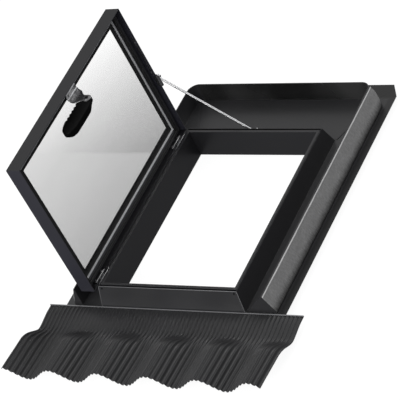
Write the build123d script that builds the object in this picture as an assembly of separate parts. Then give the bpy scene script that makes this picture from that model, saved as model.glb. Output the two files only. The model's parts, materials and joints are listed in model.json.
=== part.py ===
"""Roof hatch: a glazed lid on a curb, with its flashing, pleated apron, stay and handle.

Millimetres. X runs across the roof, Y up the slope, Z out of the roof. The origin is the
centre of the roof opening in the plane that the curb stands on. The lid is shown open.
"""
import math
import os

from build123d import *

# Roof opening and curb
opening_width = 422.0
opening_length = 582.0
curb_height = 90.0
curb_wall = 8.0
curb_foot_width = 36.0
curb_foot_thickness = 8.0
fixing_hole_radius = 2.75
fixing_hole_inset = 24.0
fixing_hole_end = 61.0
corner_plate_leg = 52.0
corner_plate_width = 20.0
corner_plate_thickness = 2.0
packing_short = 30.0
packing_margin = 1.0

# Flashing
sheet = 1.0
roof_level = 24.0
collar_gap_side = 1.7
collar_gap_end = 5.8
collar_flare_side = 8.3
collar_flare_end = 18.4
gutter_width = 70.6
gutter_wall_short = 7.2
tray_depth = 167.8
gutter_wall_height = 63.0
tray_corner_radius = 30.0
fold_thickness = 2.4
flange_side = 52.9
flange_back = 55.0
flange_corner_cut = (26.0, 47.0)
landing_depth = 20.0
seam_width = 7.0
end_plate_foot = 26.0

# Foam wedges along the gutter walls
foam_base = 26.0
foam_top = 4.0
foam_drop = 3.0
foam_short = 14.0
foam_round = 36.0

# Pleated apron
apron_left_over = 50.5
apron_right_over = 57.5
apron_gap = 1.8
apron_length = 271.0
apron_thickness = 2.2
pleat_pitch = 13.1
pleat_depth = 3.2
pleat_share_at_top = 0.35
tile_pitch = 157.0
tile_crest_x = 64.0
tile_wave = 19.5
tile_rise = 25.0
tile_step_rise = 17.5
tile_step_back = 84.0
tile_step_run = 62.0
tile_dip = 7.0
clamp_width = 3.0
clamp_height = 1.4

# Lid frame
lid_clear_side = 8.55
lid_clear_end = 6.95
lid_depth = 44.0
lid_wall = 2.0
lid_face = 22.5
lid_cover = 16.0
rim_drop = 22.0
lid_overlap = 15.0
seat_height = 8.0
pane = 3.0
pane_gap = 5.0
pane_edge = 6.0
edge_band = 14.8
edge_band_height = 1.2
bead_width = 2.2
bead_recess = 1.5
seal_width = 5.0
seal_gap = 0.3
spacer_width = 6.5

# Hinges
hinge_outset = 3.05
hinge_below = 0.9
open_angle = 91.0
hinge_from_end = 31.0
hinge_length = 52.0
knuckle_radius = 3.6
hinge_pin_radius = 1.75
running_gap = 0.05
knuckle_gap = 0.3
leaf = 2.0
middle_knuckle = 22.0
notch_height = 4.5

# Stay
stay_u = 199.2
stay_drop = 18.7
stay_offset = 7.25
rod_radius = 3.5
rod_length = 314.2
rod_angle = 43.2
rod_hook = 12.0
rod_hook_radius = 5.5
rod_eye_radius = 6.5
rod_eye_half = 4.0
stay_pin_radius = 2.5
stay_pin_head = 6.5
bracket_below = 28.2
bracket_above = 15.8
bracket_hang = 7.0
bracket_top = 10.5
bracket_sheet = 2.5
bracket_hook = 9.0
strap_sheet = 1.2
strap_height = 5.0
strap_lift = 4.5
strap_length = 146.0
seat_length = 42.0
seat_rise = 8.0
seat_plate = 24.0

# Handle
handle_y = 0.0
fan_inset = 40.5
fan_sheet = 2.5
fan_flange = 22.0
fan_foot = (-12.0, 42.0)
fan_shoulder = (33.5, 14.0)
fan_waist = (23.0, 28.0)
fan_neck = (15.0, 36.0)
fan_back = (-17.0, 14.0)
fan_back_neck = (-9.0, 37.0)
eye_drop = 57.0
eye_radius = 12.0
grip_length = 130.0
grip_near = 29.0
grip_far = 74.5
grip_depth = 24.5
grip_soft_edge = 4.0
grip_samples = 90
grip_gap = 0.5
handle_pin_radius = 3.0
finger_notches = 5
finger_pitch = 11.5
finger_radius = 6.0
finger_depth = 2.5
finger_start = 28.0

# Fasteners
screw_radius = 2.6
screw_head = 1.0

curb_outer_x = opening_width / 2 + curb_wall
curb_outer_y = opening_length / 2 + curb_wall
collar_top_x = curb_outer_x + collar_gap_side + sheet
collar_top_y = curb_outer_y + collar_gap_end + sheet
collar_base_x = collar_top_x + collar_flare_side
collar_base_y = collar_top_y + collar_flare_end
collar_rise = curb_height - roof_level
fixing_hole_y = opening_length / 2 - fixing_hole_end
gutter_wall_x = collar_base_x + gutter_width
gutter_wall_front_y = -(collar_base_y - gutter_wall_short)
tray_back_y = collar_base_y + tray_depth
wall_top_z = roof_level + gutter_wall_height
flange_edge_x = gutter_wall_x + flange_side
flange_back_y = tray_back_y + flange_back
foam_back_y = tray_back_y - foam_short
apron_left_x = -(flange_edge_x + apron_left_over)
apron_right_x = flange_edge_x + apron_right_over
apron_top_y = -(collar_base_y + apron_gap)
apron_front_y = apron_top_y - apron_length
lid_right_x = collar_top_x + lid_clear_side + lid_wall
lid_head_y = collar_top_y + lid_clear_end + lid_wall
lid_width = 2 * lid_right_x
lid_length = 2 * lid_head_y
lid_base_z = curb_height - lid_overlap
face_z = lid_base_z + rim_drop
hinge_x = -(lid_right_x + hinge_outset)
hinge_z = lid_base_z - hinge_below
hinge_y = opening_length / 2 - hinge_from_end
stay_plane_y = lid_head_y + stay_offset
fan_x = lid_right_x - fan_inset
eye_z = face_z - eye_drop


def collar_x(z):
    """Outer face of the side collar at height z."""
    return collar_base_x - collar_flare_side * (z - roof_level) / collar_rise


def collar_y(z):
    """Outer face of the end collars at height z."""
    return collar_base_y - collar_flare_end * (z - roof_level) / collar_rise


def prism_x(outline, x0, x1):
    """Solid with a (y, z) outline, running along X."""
    face = make_face(Polyline([(x0, y, z) for y, z in outline], close=True))
    return extrude(face, amount=x1 - x0, dir=(1, 0, 0))


def prism_y(outline, y0, y1):
    """Solid with an (x, z) outline, running along Y."""
    face = make_face(Polyline([(x, y0, z) for x, z in outline], close=True))
    return extrude(face, amount=y1 - y0, dir=(0, 1, 0))


def prism_z(outline, z0, z1):
    """Solid with an (x, y) outline, running along Z."""
    face = make_face(Polyline([(x, y, z0) for x, y in outline], close=True))
    return extrude(face, amount=z1 - z0, dir=(0, 0, 1))


def block(x0, x1, y0, y1, z0, z1):
    """Box between two corners."""
    return Pos((x0 + x1) / 2, (y0 + y1) / 2, (z0 + z1) / 2) * Box(x1 - x0, y1 - y0, z1 - z0)


def rod_between(start, end, radius):
    """Cylinder between two points."""
    start, end = Vector(*start), Vector(*end)
    plane = Plane(origin=start, z_dir=end - start)
    return extrude(plane * Circle(radius), amount=(end - start).length)


def ring(outer_x, outer_y, inner_x, inner_y, z0, z1):
    """Flat rectangular ring, given as half sizes."""
    return block(-outer_x, outer_x, -outer_y, outer_y, z0, z1) - block(
        -inner_x, inner_x, -inner_y, inner_y, z0 - 1, z1 + 1
    )


def mitred_members(section, width, length, depth):
    """Four members with 45 degree mitres. section is (inward, z) from the outer face."""
    members = []
    turns = [(0, width, length), (90, length, width), (180, width, length), (270, length, width)]
    for turn, run, across in turns:
        bar = prism_x(section, -run / 2, run / 2)
        low = min(z for _, z in section) - 1
        high = max(z for _, z in section) + 1
        half = run / 2
        trapezium = [(-half, 0), (half, 0), (half - depth, depth), (-half + depth, depth)]
        bar = bar & prism_z(trapezium, low, high)
        members.append(Rot(0, 0, turn) * (Pos(0, -across / 2, 0) * bar))
    return members


def open_lid(shape):
    """Turn a piece of the closed lid about the hinge axis to the open pose."""
    return shape.rotate(Axis((hinge_x, 0, hinge_z), (0, 1, 0)), -open_angle)


def curb():
    """Angle section walls on feet, mitred, with the fixing holes in the jambs' feet."""
    wall_at = curb_foot_width - curb_wall
    section = [
        (0, 0),
        (curb_foot_width, 0),
        (curb_foot_width, curb_height),
        (wall_at, curb_height),
        (wall_at, curb_foot_thickness),
        (0, curb_foot_thickness),
    ]
    width = opening_width + 2 * curb_foot_width
    length = opening_length + 2 * curb_foot_width
    sill, right, head, left = mitred_members(section, width, length, curb_foot_width)
    hole_x = opening_width / 2 + fixing_hole_inset
    for y in (-fixing_hole_y, fixing_hole_y):
        drill = Cylinder(fixing_hole_radius, 4 * curb_foot_thickness)
        right = right - Pos(hole_x, y, 0) * drill
        left = left - Pos(-hole_x, y, 0) * drill
    return {"curb_sill": sill, "curb_jamb_right": right, "curb_head": head, "curb_jamb_left": left}


def corner_plates():
    """Angle plates that tie the mitres together, on top of the feet."""
    plates = {}
    out_x = opening_width / 2 + curb_foot_width - 2
    out_y = opening_length / 2 + curb_foot_width - 2
    z0 = curb_foot_thickness
    corners = [("front_right", 1, -1), ("back_right", 1, 1), ("back_left", -1, 1), ("front_left", -1, -1)]
    for name, sx, sy in corners:
        outline = [
            (out_x, out_y),
            (out_x - corner_plate_leg, out_y),
            (out_x - corner_plate_leg, out_y - corner_plate_width),
            (out_x - corner_plate_width, out_y - corner_plate_width),
            (out_x - corner_plate_width, out_y - corner_plate_leg),
            (out_x, out_y - corner_plate_leg),
        ]
        outline = [(sx * x, sy * y) for x, y in outline]
        plates["corner_plate_" + name] = prism_z(outline, z0, z0 + corner_plate_thickness)
    return plates


def packing_strip(side):
    """Wood strip on the jamb's foot, between the fixing holes, that carries the flashing."""
    x0 = curb_outer_x + packing_margin
    x1 = opening_width / 2 + curb_foot_width - packing_margin
    half = fixing_hole_y - packing_short
    outline = [(side * x0, -half), (side * x1, -half), (side * x1, half), (side * x0, half)]
    return prism_z(outline, curb_foot_thickness, roof_level)


def tray_wall(inner_offset, outer_offset):
    """Upright folded wall round the sides and back of the tray, with rounded corners."""

    def outline(offset):
        x, y, r = gutter_wall_x + offset, tray_back_y + offset, tray_corner_radius + offset
        front = gutter_wall_front_y
        cut = r * (1 - math.sqrt(0.5))
        path = Polyline([(-x, y - r), (-x, front), (x, front), (x, y - r)])
        right = ThreePointArc((x, y - r), (x - cut, y - cut), (x - r, y))
        back = Line((x - r, y), (-x + r, y))
        left = ThreePointArc((-x + r, y), (-x + cut, y - cut), (-x, y - r))
        return make_face(path + right + back + left)

    band = extrude(Pos(0, 0, roof_level) * outline(outer_offset), amount=gutter_wall_height)
    hollow = extrude(Pos(0, 0, roof_level - 1) * outline(inner_offset), amount=gutter_wall_height + 2)
    wall = band - hollow
    front = gutter_wall_front_y
    return wall - block(-gutter_wall_x + 5, gutter_wall_x - 5, front - 5, front + 5, 0, wall_top_z + 5)


def collar():
    """Four leaning sheets round the curb, open at the top and the bottom."""

    def frustum(inset, over):
        top = curb_height + over
        base = roof_level - over
        lean_x = collar_flare_side / collar_rise * over
        lean_y = collar_flare_end / collar_rise * over
        top_face = Pos(0, 0, top) * Rectangle(
            2 * (collar_top_x - inset - lean_x), 2 * (collar_top_y - inset - lean_y)
        )
        base_face = Pos(0, 0, base) * Rectangle(
            2 * (collar_base_x - inset + lean_x), 2 * (collar_base_y - inset + lean_y)
        )
        return loft([base_face, top_face])

    return frustum(0, 0) - frustum(sheet, 2)


def flange_floor():
    """Flat sheet under the gutters, the tray and the flanges, cut out for the curb."""
    cut_x, cut_y = flange_corner_cut
    front = -collar_base_y
    outline = [
        (-flange_edge_x, front),
        (flange_edge_x, front),
        (flange_edge_x, flange_back_y - cut_y),
        (flange_edge_x - cut_x, flange_back_y),
        (-flange_edge_x + cut_x, flange_back_y),
        (-flange_edge_x, flange_back_y - cut_y),
    ]
    plate = prism_z(outline, roof_level, roof_level + sheet)
    hole_x = collar_base_x - sheet
    hole_y = collar_base_y - sheet
    return plate - block(-hole_x, hole_x, -hole_y, hole_y, 0, curb_height)


def end_plates():
    """Sheets over the front of the foam; the right one also closes the gutter's foot."""
    plates = []
    outer = gutter_wall_x + fold_thickness / 2
    for side, start in ((-1, gutter_wall_x - fold_thickness / 2), (1, collar_base_x)):
        outline = [
            (side * start, roof_level),
            (side * (outer - fold_thickness if side < 0 else outer), wall_top_z),
            (side * outer, wall_top_z),
            (side * (gutter_wall_x + end_plate_foot), roof_level),
        ]
        if side > 0:
            outline.pop(1)
        plates.append(prism_y(outline, gutter_wall_front_y - sheet, gutter_wall_front_y))
    return plates


def seam_line():
    """Plan points of the rear left seam, from inside the curb out past the flange."""
    step_x = collar_base_x - collar_top_x
    step_y = collar_base_y - collar_top_y
    bend = tray_corner_radius * (1 - math.sqrt(0.5))
    return [
        (-collar_top_x + 2 * step_x, collar_top_y - 2 * step_y),
        (-collar_base_x, collar_base_y),
        (-gutter_wall_x + bend, tray_back_y - bend),
        (-flange_edge_x - 20, flange_back_y + 20),
    ]


def flashing():
    """Head tray, side gutters and sill sheet: one folded form, parted at its seams."""
    half_fold = fold_thickness / 2
    whole = collar() + flange_floor() + tray_wall(-half_fold, half_fold)
    far = 2 * flange_back_y
    rear_left = seam_line()
    rear_right = [(-x, y) for x, y in rear_left]
    inner_x, inner_y = -rear_left[0][0], rear_left[0][1]
    front = [(inner_x, -inner_y), (collar_base_x, -collar_base_y), (far, -collar_base_y)]
    head_zone = rear_left + rear_right[::-1]
    right_zone = rear_right + [(far, flange_back_y + 20)] + front[::-1]
    sill_zone = front + [(far, -far), (-far, -far)] + [(-x, y) for x, y in front[::-1]]
    left_zone = [(-x, y) for x, y in right_zone]
    cut = {}
    for name, zone in (
        ("flashing_head", head_zone),
        ("flashing_right", right_zone),
        ("flashing_sill", sill_zone),
        ("flashing_left", left_zone),
    ):
        cut[name] = whole & prism_z(zone, 0, 2 * curb_height)
    left_plate, right_plate = end_plates()
    cut["flashing_left"] = cut["flashing_left"] + left_plate
    cut["flashing_right"] = cut["flashing_right"] + right_plate
    landing = block(
        -flange_edge_x,
        flange_edge_x,
        -collar_base_y - landing_depth,
        -collar_base_y,
        roof_level,
        roof_level + sheet,
    )
    cut["flashing_sill"] = cut["flashing_sill"] + landing
    return cut


def seams():
    """Folded lock seams over the two rear joints of the tray floor."""
    strips = []
    z0 = roof_level + sheet
    for side in (-1, 1):
        _, start, end, _ = [(-side * x, y) for x, y in seam_line()]
        run = Vector(end[0] - start[0], end[1] - start[1])
        length = run.length
        angle = math.degrees(math.atan2(run.Y, run.X))
        strip = block(4, length - 4, -seam_width / 2, seam_width / 2, 0, 1.2)
        strips.append(Pos(start[0], start[1], z0) * Rot(0, 0, angle) * strip)
    return strips


def foam_wedge(side):
    """Foam strip with a rounded ridge that backs the gutter wall."""
    x0 = gutter_wall_x + fold_thickness / 2
    z0 = roof_level + sheet
    z1 = wall_top_z - foam_drop
    outline = [
        (x0, z0),
        (x0 + foam_base, z0),
        (x0 + foam_top, z1 - 4),
        (x0 + foam_top - 1.2, z1 - 1),
        (x0 + foam_top - 2.6, z1),
        (x0, z1),
    ]
    outline = [(side * x, z) for x, z in outline]
    wedge = prism_y(outline, gutter_wall_front_y, foam_back_y)
    r = foam_base
    turn = foam_back_y - foam_round
    plan = [(x0 - 1, gutter_wall_front_y - 1), (x0 + r + 1, gutter_wall_front_y - 1)]
    for i in range(9):
        a = math.radians(90 * i / 8)
        plan.append((x0 + (r + 1) * math.cos(a), turn + foam_round * math.sin(a)))
    plan.append((x0 - 1, foam_back_y))
    return wedge & prism_z([(side * x, y) for x, y in plan], z0 - 1, z1 + 1)


def tile_stations():
    """Distance down the apron, rise and share of the tile wave, from the curb to the front."""
    back, run = tile_step_back, tile_step_run
    return [
        (0.0, 0.0, 0.0),
        (landing_depth, 0.0, 0.0),
        (back, -tile_dip, 0.0),
        (back + 0.32 * run, 0.11 * tile_step_rise, 0.35),
        (back + 0.61 * run, 0.74 * tile_step_rise, 0.65),
        (back + run, tile_step_rise, 0.85),
        (apron_length, tile_rise, 1.0),
    ]


def apron():
    """Pleated sheet: every pleat is a fold from the curb to the front edge."""
    folds = 2 * round((apron_right_x - apron_left_x) / pleat_pitch)
    step = (apron_right_x - apron_left_x) / folds
    base_z = roof_level + sheet + pleat_depth / 2 + apron_thickness / 2 + 0.1
    sections = []
    for back, rise, wave in tile_stations():
        y = apron_top_y - back
        depth = pleat_depth * min(1.0, pleat_share_at_top + back / tile_step_back)
        top = []
        for i in range(folds + 1):
            x = apron_left_x + i * step
            crest = math.cos(2 * math.pi * (x - tile_crest_x) / tile_pitch)
            fold = depth / 2 * (1 if i % 2 else -1)
            z = base_z + rise + wave * tile_wave * crest + fold
            top.append((x, y, z + apron_thickness / 2))
        under = [(x, y, z - apron_thickness) for x, y, z in top[::-1]]
        sections.append(make_face(Polyline(top + under, close=True)))
    return loft(sections, ruled=True)


def apron_clamp():
    """Folded strip that holds the top edge of the apron down on the sill sheet."""
    middle = roof_level + sheet + pleat_depth / 2 + apron_thickness / 2 + 0.1
    z0 = middle + pleat_depth * pleat_share_at_top / 2 + apron_thickness / 2 + 0.1
    y1 = apron_top_y
    return block(apron_left_x, apron_right_x, y1 - clamp_width, y1, z0, z0 + clamp_height)


def lid_section():
    """Section of the lid frame: skirt, face, glass seat and outer cover."""
    z0 = lid_base_z
    f = face_z
    top = z0 + lid_depth
    seat = f + seat_height
    return [
        (0, z0),
        (lid_wall, z0),
        (lid_wall, f),
        (lid_face, f),
        (lid_face, seat),
        (lid_face - lid_wall, seat),
        (lid_face - lid_wall, f + lid_wall),
        (lid_wall, f + lid_wall),
        (lid_wall, top - lid_wall),
        (lid_cover, top - lid_wall),
        (lid_cover, top),
        (0, top),
    ]


def lid_frame():
    """Mitred rails and stiles, with notches in the hinge stile for the hinges."""
    rails = mitred_members(lid_section(), lid_width, lid_length, lid_face)
    bottom, free, top, hinge = rails
    for side in (-1, 1):
        y = side * hinge_y
        reach = hinge_length / 2 + 1.5
        hinge = hinge - block(
            -lid_right_x - 1,
            -lid_right_x + lid_wall + 1,
            y - reach,
            y + reach,
            lid_base_z - 1,
            lid_base_z + notch_height,
        )
    return {
        "lid_rail_bottom": bottom,
        "lid_stile_free": free,
        "lid_rail_top": top,
        "lid_stile_hinge": hinge,
    }


def glazing():
    """Sealed double pane with its spacer, gaskets and bead, and the weather seal."""
    glass_x = lid_right_x - pane_edge
    glass_y = lid_head_y - pane_edge
    seat = face_z + seat_height
    gap0 = seat + pane
    gap1 = gap0 + pane_gap
    face_x = lid_right_x - lid_face
    face_y = lid_head_y - lid_face
    cover_x = lid_right_x - lid_cover
    cover_y = lid_head_y - lid_cover
    spacer_x = face_x - 1
    spacer_y = face_y - 1
    parts = {
        "glass_inner": block(-glass_x, glass_x, -glass_y, glass_y, seat, gap0),
        "glass_outer": block(-glass_x, glass_x, -glass_y, glass_y, gap1, gap1 + pane),
        "glass_spacer": ring(
            spacer_x, spacer_y, spacer_x - spacer_width, spacer_y - spacer_width, gap0, gap1
        ),
    }
    band = bead_width + edge_band
    parts["glazing_bead"] = ring(
        face_x, face_y, face_x - bead_width, face_y - bead_width, face_z + bead_recess, seat
    )
    band_z = seat - edge_band_height
    parts["glazing_gasket_inner"] = ring(
        face_x - bead_width, face_y - bead_width, face_x - band, face_y - band, band_z, seat
    )
    gasket_x, gasket_y = glass_x - 2, glass_y - 2
    top = lid_base_z + lid_depth - lid_wall
    parts["glazing_gasket_outer"] = ring(gasket_x, gasket_y, cover_x, cover_y, gap1 + pane, top)
    seal_x = collar_top_x
    seal_y = curb_outer_y
    seal = ring(
        seal_x, seal_y, seal_x - seal_width, seal_y - seal_width, curb_height + seal_gap, face_z
    )
    low = seal.faces().sort_by(Axis.Z)[0]
    parts["weather_seal"] = chamfer(low.edges(), 1.2)
    return parts


def hinge(y):
    """Butt hinge: frame leaf on the collar, lid leaf inside the skirt, and the pin."""
    y0, y1 = y - hinge_length / 2, y + hinge_length / 2
    m0, m1 = y - middle_knuckle / 2, y + middle_knuckle / 2
    bore = hinge_pin_radius + running_gap
    axis_low = (hinge_x, y0 - 1, hinge_z)
    axis_high = (hinge_x, y1 + 1, hinge_z)
    arm_low = hinge_z - knuckle_radius
    foot = arm_low - 4
    top = curb_height - 2
    frame_outline = [
        (-collar_x(top), top),
        (-collar_x(foot), foot),
        (hinge_x, arm_low),
        (hinge_x, arm_low + leaf),
        (-collar_x(foot + 4) - leaf, foot + 4),
        (-collar_x(top) - leaf, top),
    ]
    frame_leaf = prism_y(frame_outline, y0, y1)
    frame_leaf = frame_leaf + rod_between((hinge_x, y0, hinge_z), (hinge_x, y1, hinge_z), knuckle_radius)
    middle = rod_between(
        (hinge_x, m0 - knuckle_gap, hinge_z), (hinge_x, m1 + knuckle_gap, hinge_z), knuckle_radius + 0.4
    )
    relief = block(
        hinge_x - 6, -collar_x(foot) - leaf - 3.2, m0 - knuckle_gap, m1 + knuckle_gap, foot, hinge_z + 6
    )
    drill = rod_between(axis_low, axis_high, bore)
    frame_leaf = frame_leaf - middle - relief - drill
    skirt_inside = -lid_right_x + lid_wall
    arm_top = hinge_z + knuckle_radius
    leaf_top = face_z - 3
    lid_outline = [
        (hinge_x, arm_top),
        (hinge_x, arm_top - leaf),
        (skirt_inside + leaf, arm_top - leaf),
        (skirt_inside + leaf, leaf_top),
        (skirt_inside, leaf_top),
        (skirt_inside, arm_top),
    ]
    lid_leaf = prism_y(lid_outline, m0, m1)
    wide_leaf = block(skirt_inside, skirt_inside + leaf, y0, y1, lid_base_z + notch_height + 1, leaf_top)
    lid_leaf = lid_leaf + wide_leaf
    lid_leaf = lid_leaf + rod_between((hinge_x, m0, hinge_z), (hinge_x, m1, hinge_z), knuckle_radius)
    lid_leaf = lid_leaf - drill
    pin = rod_between((hinge_x, y0 - 0.5, hinge_z), (hinge_x, y1 + 0.5, hinge_z), hinge_pin_radius)
    return frame_leaf, lid_leaf, pin


def stay_pivot():
    """Pivot of the stay on the closed lid, as (x, z)."""
    return -lid_right_x + stay_u, face_z - stay_drop


def stay_bracket():
    """Sheet hooked over the edge of the top rail's skirt."""
    x, z = stay_pivot()
    y_out = lid_head_y
    y_in = lid_head_y - lid_wall
    x0, x1 = x - bracket_below, x + bracket_above
    low = lid_base_z - strap_sheet
    plate = block(
        x0, x1, y_out, y_out + bracket_sheet, lid_base_z - bracket_hang, z + rod_eye_radius + bracket_top
    )
    plate = fillet(plate.edges().filter_by(Axis.Y), rod_eye_radius - 1)
    hook = block(x0 + 4, x1 - 4, y_in - strap_sheet, y_out + 0.1, low, lid_base_z)
    back = block(x0 + 4, x1 - 4, y_in - strap_sheet, y_in, low, lid_base_z + bracket_hook)
    return plate + hook + back


def stay_pin():
    """Headed pin on the bracket that the eye of the stay rod turns on."""
    x, z = stay_pivot()
    start = lid_head_y + bracket_sheet
    end = stay_plane_y + rod_eye_half + 0.4
    pin = rod_between((x, start, z), (x, end, z), stay_pin_radius)
    return pin + rod_between((x, end, z), (x, end + 2.2, z), stay_pin_head)


def stay_strap():
    """Flat strip along the inside of the skirt, beside the stay bracket."""
    x, _ = stay_pivot()
    x0 = x + bracket_above + 0.5
    y_in = lid_head_y - lid_wall
    z0 = lid_base_z + strap_lift
    return block(x0, x0 + strap_length, y_in - strap_sheet, y_in, z0, z0 + strap_height)


def stay_rod():
    """Round rod in the open pose, with an eye at the lid and a turned end at the curb."""
    x, z = stay_pivot()
    turn = math.radians(open_angle)
    dx, dz = x - hinge_x, z - hinge_z
    top = Vector(
        hinge_x + dx * math.cos(turn) - dz * math.sin(turn),
        stay_plane_y,
        hinge_z + dx * math.sin(turn) + dz * math.cos(turn),
    )
    slope = math.radians(rod_angle)
    run = Vector(math.cos(slope), 0, -math.sin(slope))
    low = top + run * rod_length
    path_low = low - run * rod_hook_radius
    tip = low + Vector(0, rod_hook, 0)
    bend_end = low + Vector(0, rod_hook_radius, 0)
    start = top + run * (rod_eye_radius - 2)
    middle = low + (run * -1 + Vector(0, 1, 0)) * (rod_hook_radius * (1 - math.sqrt(0.5)))
    path = Line(start, path_low) + ThreePointArc(path_low, middle, bend_end) + Line(bend_end, tip)
    section = Plane(origin=start, z_dir=run) * Circle(rod_radius)
    rod = sweep(section, path=path)
    eye = rod_between(
        (top.X, stay_plane_y - rod_eye_half, top.Z),
        (top.X, stay_plane_y + rod_eye_half, top.Z),
        rod_eye_radius,
    )
    drill = rod_between(
        (top.X, stay_plane_y - 9, top.Z), (top.X, stay_plane_y + 9, top.Z), stay_pin_radius + running_gap
    )
    return rod + eye - drill, low


def stay_seat(low):
    """Bracket on the back of the curb whose lip carries the turned end of the rod."""
    lip = low.Z - rod_radius - 0.3
    x0 = low.X - seat_length / 2
    x1 = low.X + seat_length / 2
    top = lip + seat_rise
    lip_end = stay_plane_y + rod_hook + 3
    foot = top - seat_plate
    under = lip - bracket_sheet
    outline = [
        (collar_y(top), top),
        (collar_y(foot), foot),
        (collar_y(foot) + bracket_sheet, foot),
        (collar_y(under) + bracket_sheet, under),
        (lip_end, under),
        (lip_end, lip),
        (collar_y(lip) + bracket_sheet, lip),
        (collar_y(top) + bracket_sheet, top),
    ]
    seat = prism_x(outline, x0, x1)
    ear = block(x0, x0 + bracket_sheet, collar_y(lip) + 1, lip_end, lip - 1, lip + 7)
    return seat + ear


def handle_bracket():
    """Bent plate under the free stile: screwed flange and fan shaped arm with its eye."""
    x0 = fan_x
    y0, y1 = handle_y + fan_foot[0], handle_y + fan_foot[1]
    under = face_z - fan_sheet
    flange = block(x0, x0 + fan_flange, y0, y1, under, face_z)
    lip = block(x0 + fan_flange - 2, x0 + fan_flange, y0, y1, under - 1.5, under)

    def at(spot):
        return (x0, handle_y + spot[0], face_z - spot[1])

    bottom = (x0, handle_y, eye_z - eye_radius)
    left, right = (-eye_radius, eye_drop), (eye_radius, eye_drop)
    edge = (
        ThreePointArc(at((fan_foot[0], 0)), at(fan_back), at(fan_back_neck))
        + Line(at(fan_back_neck), at(left))
        + ThreePointArc(at(left), bottom, at(right))
        + Line(at(right), at(fan_neck))
        + Line(at(fan_neck), at(fan_waist))
        + ThreePointArc(at(fan_waist), at(fan_shoulder), at((fan_foot[1], 0)))
        + Line(at((fan_foot[1], 0)), at((fan_foot[0], 0)))
    )
    fan = extrude(make_face(edge), amount=fan_sheet, dir=(1, 0, 0))
    eye = rod_between((x0 - 2, handle_y, eye_z), (x0 + 8, handle_y, eye_z), handle_pin_radius + running_gap)
    return flange + lip + fan - eye


def inward(outline):
    """Sign that turns a run along the outline towards its inside."""
    twice = sum(a.Y * b.Z - b.Y * a.Z for a, b in zip(outline, outline[1:] + outline[:1]))
    return 1 if twice > 0 else -1


def grip_section(outline, x, inset):
    """Face at one x: the outline drawn in by the inset."""
    move = inset * inward(outline)
    shape = []
    for i, point in enumerate(outline):
        run = (outline[(i + 1) % len(outline)] - outline[i - 1]).normalized()
        shape.append((x, point.Y - move * run.Z, point.Z + move * run.Y))
    return make_face(Polyline(shape, close=True))


def handle_grip():
    """Moulded grip with soft edges and finger notches on the side towards the lid."""
    x1 = fan_x - grip_gap
    near, far = face_z - grip_near, face_z - grip_far
    end = handle_y - grip_length
    heel = handle_y - 10.0

    edge = (
        ThreePointArc(
            (x1, handle_y - 12, near), (x1, handle_y + 5, near - 9), (x1, handle_y + 11, eye_z)
        )
        + ThreePointArc(
            (x1, handle_y + 11, eye_z), (x1, handle_y + 3, eye_z - 11), (x1, heel, far)
        )
        + Line((x1, heel, far), (x1, end + 16, far))
        + ThreePointArc((x1, end + 16, far), (x1, end, eye_z - 4), (x1, end + 24, near - 7))
        + Line((x1, end + 24, near - 7), (x1, end + 44, near))
        + Line((x1, end + 44, near), (x1, handle_y - 12, near))
    )
    outline = [edge.position_at(i / grip_samples) for i in range(grip_samples)]
    soft = grip_soft_edge
    sections = []
    for deep, inset in ((0, soft), (0.3 * soft, 0.3 * soft), (soft, 0)):
        sections.append((deep, inset))
        sections.insert(0, (grip_depth - deep, inset))
    sections.sort()
    body = loft([grip_section(outline, x1 - deep, inset) for deep, inset in sections], ruled=True)
    for i in range(finger_notches):
        y = handle_y - finger_start - i * finger_pitch
        z = near + finger_radius - finger_depth
        body = body - rod_between((x1 + 1, y, z), (x1 - grip_depth - 1, y, z), finger_radius)
    bore = rod_between((x1 + 1, handle_y, eye_z), (x1 - 16, handle_y, eye_z), handle_pin_radius)
    return body - bore


def handle_pin():
    """Pin fixed in the grip, running in the eye of the bracket, with a flat head."""
    x1 = fan_x - grip_gap
    over = x1 + grip_gap + fan_sheet + 0.2
    pin = rod_between((x1 - 16, handle_y, eye_z), (over, handle_y, eye_z), handle_pin_radius)
    return pin + rod_between((over, handle_y, eye_z), (over + 1.5, handle_y, eye_z), handle_pin_radius + 1.6)


def screw(point, outward):
    """Low round screw head on a surface."""
    point, outward = Vector(*point), Vector(*outward).normalized()
    plane = Plane(origin=point, z_dir=outward)
    return extrude(plane * Circle(screw_radius), amount=screw_head)


def frame_screws():
    """Visible fixings of the sill sheet and the frame hinge leaves."""
    screws = []
    lean = (0, -collar_rise, collar_flare_end)
    z = curb_height - 7
    for side in (-1, 1):
        screws.append(screw((side * (collar_top_x - 9), -collar_y(z), z), lean))
    side_lean = (-collar_rise, 0, collar_flare_side)
    z = curb_height - 8
    for y in (-hinge_y, hinge_y):
        for shift in (-16, 16):
            screws.append(screw((-collar_x(z) - leaf, y + shift, z), side_lean))
    return Compound(children=screws)


def lid_screws():
    """Fixings of the lid hinge leaves, the stay strap and the handle bracket."""
    screws = []
    leaf_face = -lid_right_x + lid_wall + leaf
    for y in (-hinge_y, hinge_y):
        for shift in (-18, 18):
            screws.append(screw((leaf_face, y + shift, face_z - 9), (1, 0, 0)))
    x, _ = stay_pivot()
    strap_face = lid_head_y - lid_wall - strap_sheet
    start = x + bracket_above
    z = lid_base_z + strap_lift + strap_height / 2
    for along in (12, strap_length - 22):
        screws.append(screw((start + along, strap_face, z), (0, -1, 0)))
    for y in (fan_foot[0] + 12, fan_foot[1] - 12):
        screws.append(screw((fan_x + fan_flange / 2, handle_y + y, face_z - fan_sheet), (0, 0, -1)))
    return screws


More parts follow.
